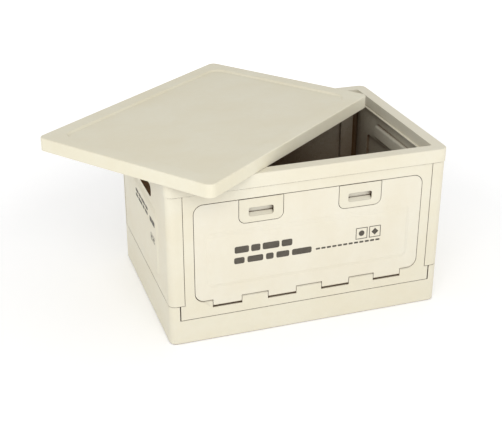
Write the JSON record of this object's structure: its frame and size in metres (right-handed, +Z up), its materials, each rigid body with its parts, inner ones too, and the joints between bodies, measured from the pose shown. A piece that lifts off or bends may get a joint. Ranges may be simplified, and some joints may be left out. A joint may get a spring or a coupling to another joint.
{
  "type": "collapsible storage crate",
  "caption": "Rectangular plastic storage crate with fold-in walls, a lift-off rim with corner posts, a drop-down front door with finger latches and a loose lid lying askew on top.",
  "frame": {"origin": "middle of the crate's footprint, on the ground under the tray", "axes": "+X along the long front to the right, -Y out of the front with the door, +Z up"},
  "size_m": [0.6882, 0.6086, 0.3343],
  "materials": {
    "crate_plastic": "fine matt texture, ivory",
    "steel": "bright drawn wire"
  },
  "bodies": {
    "base": {"base_tray": "crate_plastic", "front_hinge_rod": "steel", "back_hinge_rod": "steel", "left_hinge_rod": "steel", "right_hinge_rod": "steel"},
    "front_wall": {"front_wall_frame": "crate_plastic", "door_hinge_rod": "steel"},
    "back_wall": {"back_wall": "crate_plastic"},
    "left_wall": {"left_wall": "crate_plastic"},
    "right_wall": {"right_wall": "crate_plastic"},
    "front_door": {"front_door": "crate_plastic", "latch_pin_left": "steel", "latch_pin_right": "steel", "latch_spring_left": "steel", "latch_spring_right": "steel"},
    "latch_left": {"latch_left": "crate_plastic"},
    "latch_right": {"latch_right": "crate_plastic"},
    "rim": {"rim_frame": "crate_plastic", "post_front_left": "crate_plastic", "post_front_right": "crate_plastic", "post_back_left": "crate_plastic", "post_back_right": "crate_plastic"},
    "lid": {"lid": "crate_plastic"}
  },
  "joints": [
    {"name": "rim_lift", "type": "slide", "parent": "base", "child": "rim", "axis": [0, 0, 1], "range_m": [0, 0.22]},
    {"name": "lid_lift", "type": "slide", "parent": "rim", "child": "lid", "axis": [0, 0, 1], "range_m": [0, 0.15]},
    {"name": "front_wall_fold", "type": "hinge", "parent": "base", "child": "front_wall", "pos_m": [0, -0.16915, 0.024], "axis": [-1, 0, 0], "range_deg": [0, 90]},
    {"name": "back_wall_fold", "type": "hinge", "parent": "base", "child": "back_wall", "pos_m": [0, 0.16915, 0.041], "axis": [1, 0, 0], "range_deg": [0, 90]},
    {"name": "left_wall_fold", "type": "hinge", "parent": "base", "child": "left_wall", "pos_m": [-0.23995, 0, 0.058], "axis": [0, 1, 0], "range_deg": [0, 90]},
    {"name": "right_wall_fold", "type": "hinge", "parent": "base", "child": "right_wall", "pos_m": [0.23995, 0, 0.058], "axis": [0, -1, 0], "range_deg": [0, 90]},
    {"name": "door_open", "type": "hinge", "parent": "front_wall", "child": "front_door", "pos_m": [0, -0.1774, 0.072], "axis": [-1, 0, 0], "range_deg": [-105, 0]},
    {"name": "latch_left_pull", "type": "hinge", "parent": "front_door", "child": "latch_left", "pos_m": [-0.092, -0.178, 0.256], "axis": [1, 0, 0], "range_deg": [-30, 0], "stiffness_Nm_per_rad": 0.05, "springref_deg": 11.46},
    {"name": "latch_right_pull", "type": "hinge", "parent": "front_door", "child": "latch_right", "pos_m": [0.092, -0.178, 0.256], "axis": [1, 0, 0], "range_deg": [-30, 0], "stiffness_Nm_per_rad": 0.05, "springref_deg": 11.46}
  ]
}
